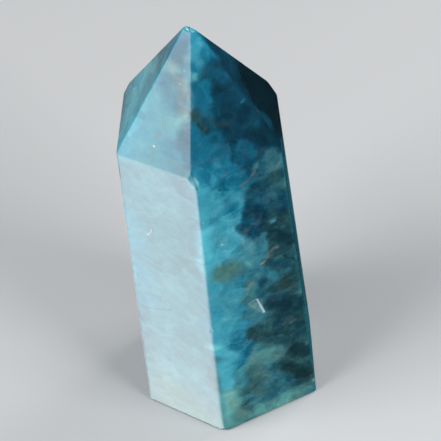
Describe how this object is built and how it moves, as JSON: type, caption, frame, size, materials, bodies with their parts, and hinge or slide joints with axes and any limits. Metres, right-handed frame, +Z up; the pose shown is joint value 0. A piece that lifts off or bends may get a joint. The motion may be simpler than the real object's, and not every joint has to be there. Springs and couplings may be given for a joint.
{
  "type": "apatite wand",
  "caption": "Polished hexagonal wand of deep blue apatite, tapering a little to a pyramid point and standing on its flat cut base.",
  "frame": {"origin": "middle of the cut base, in the plane that the wand stands on", "axes": "+Z up the wand to its point, -Y towards the ridge between the two front sides"},
  "size_m": [0.0247, 0.027, 0.0743],
  "materials": {
    "blue_apatite": "polished"
  },
  "bodies": {
    "root": {"wand": "blue_apatite"}
  },
  "joints": []
}
